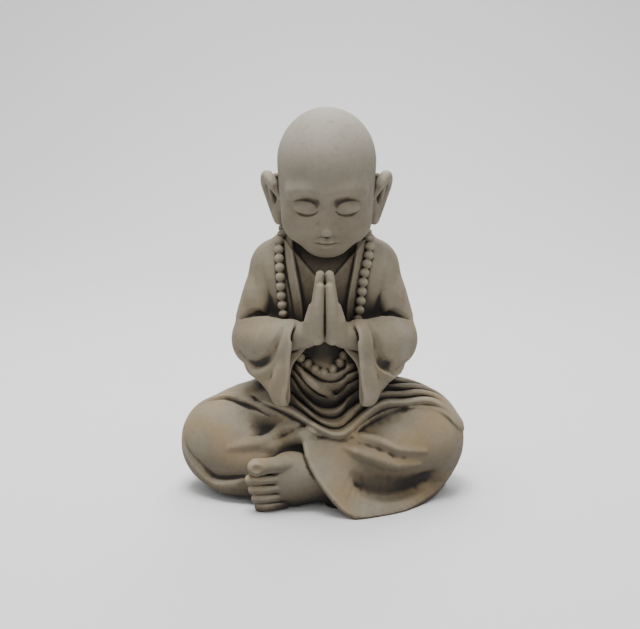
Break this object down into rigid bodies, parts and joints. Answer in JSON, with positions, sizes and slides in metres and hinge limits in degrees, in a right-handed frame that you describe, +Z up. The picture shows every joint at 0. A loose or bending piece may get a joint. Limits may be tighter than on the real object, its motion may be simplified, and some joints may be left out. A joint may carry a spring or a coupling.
{
  "type": "monk statue",
  "caption": "Seated child monk in cast stone, head bowed and palms pressed together, with a long bead string and draped robe; rests on its flat underside.",
  "frame": {"origin": "on the flat underside, below the middle of the figure's body", "axes": "+Z up through the crown of the head; the figure faces -Y; +X is the viewer's right from in front"},
  "size_m": [0.376, 0.285, 0.5008],
  "materials": {
    "stone": "matte"
  },
  "bodies": {
    "root": {"monk_statue": "stone"}
  },
  "joints": []
}
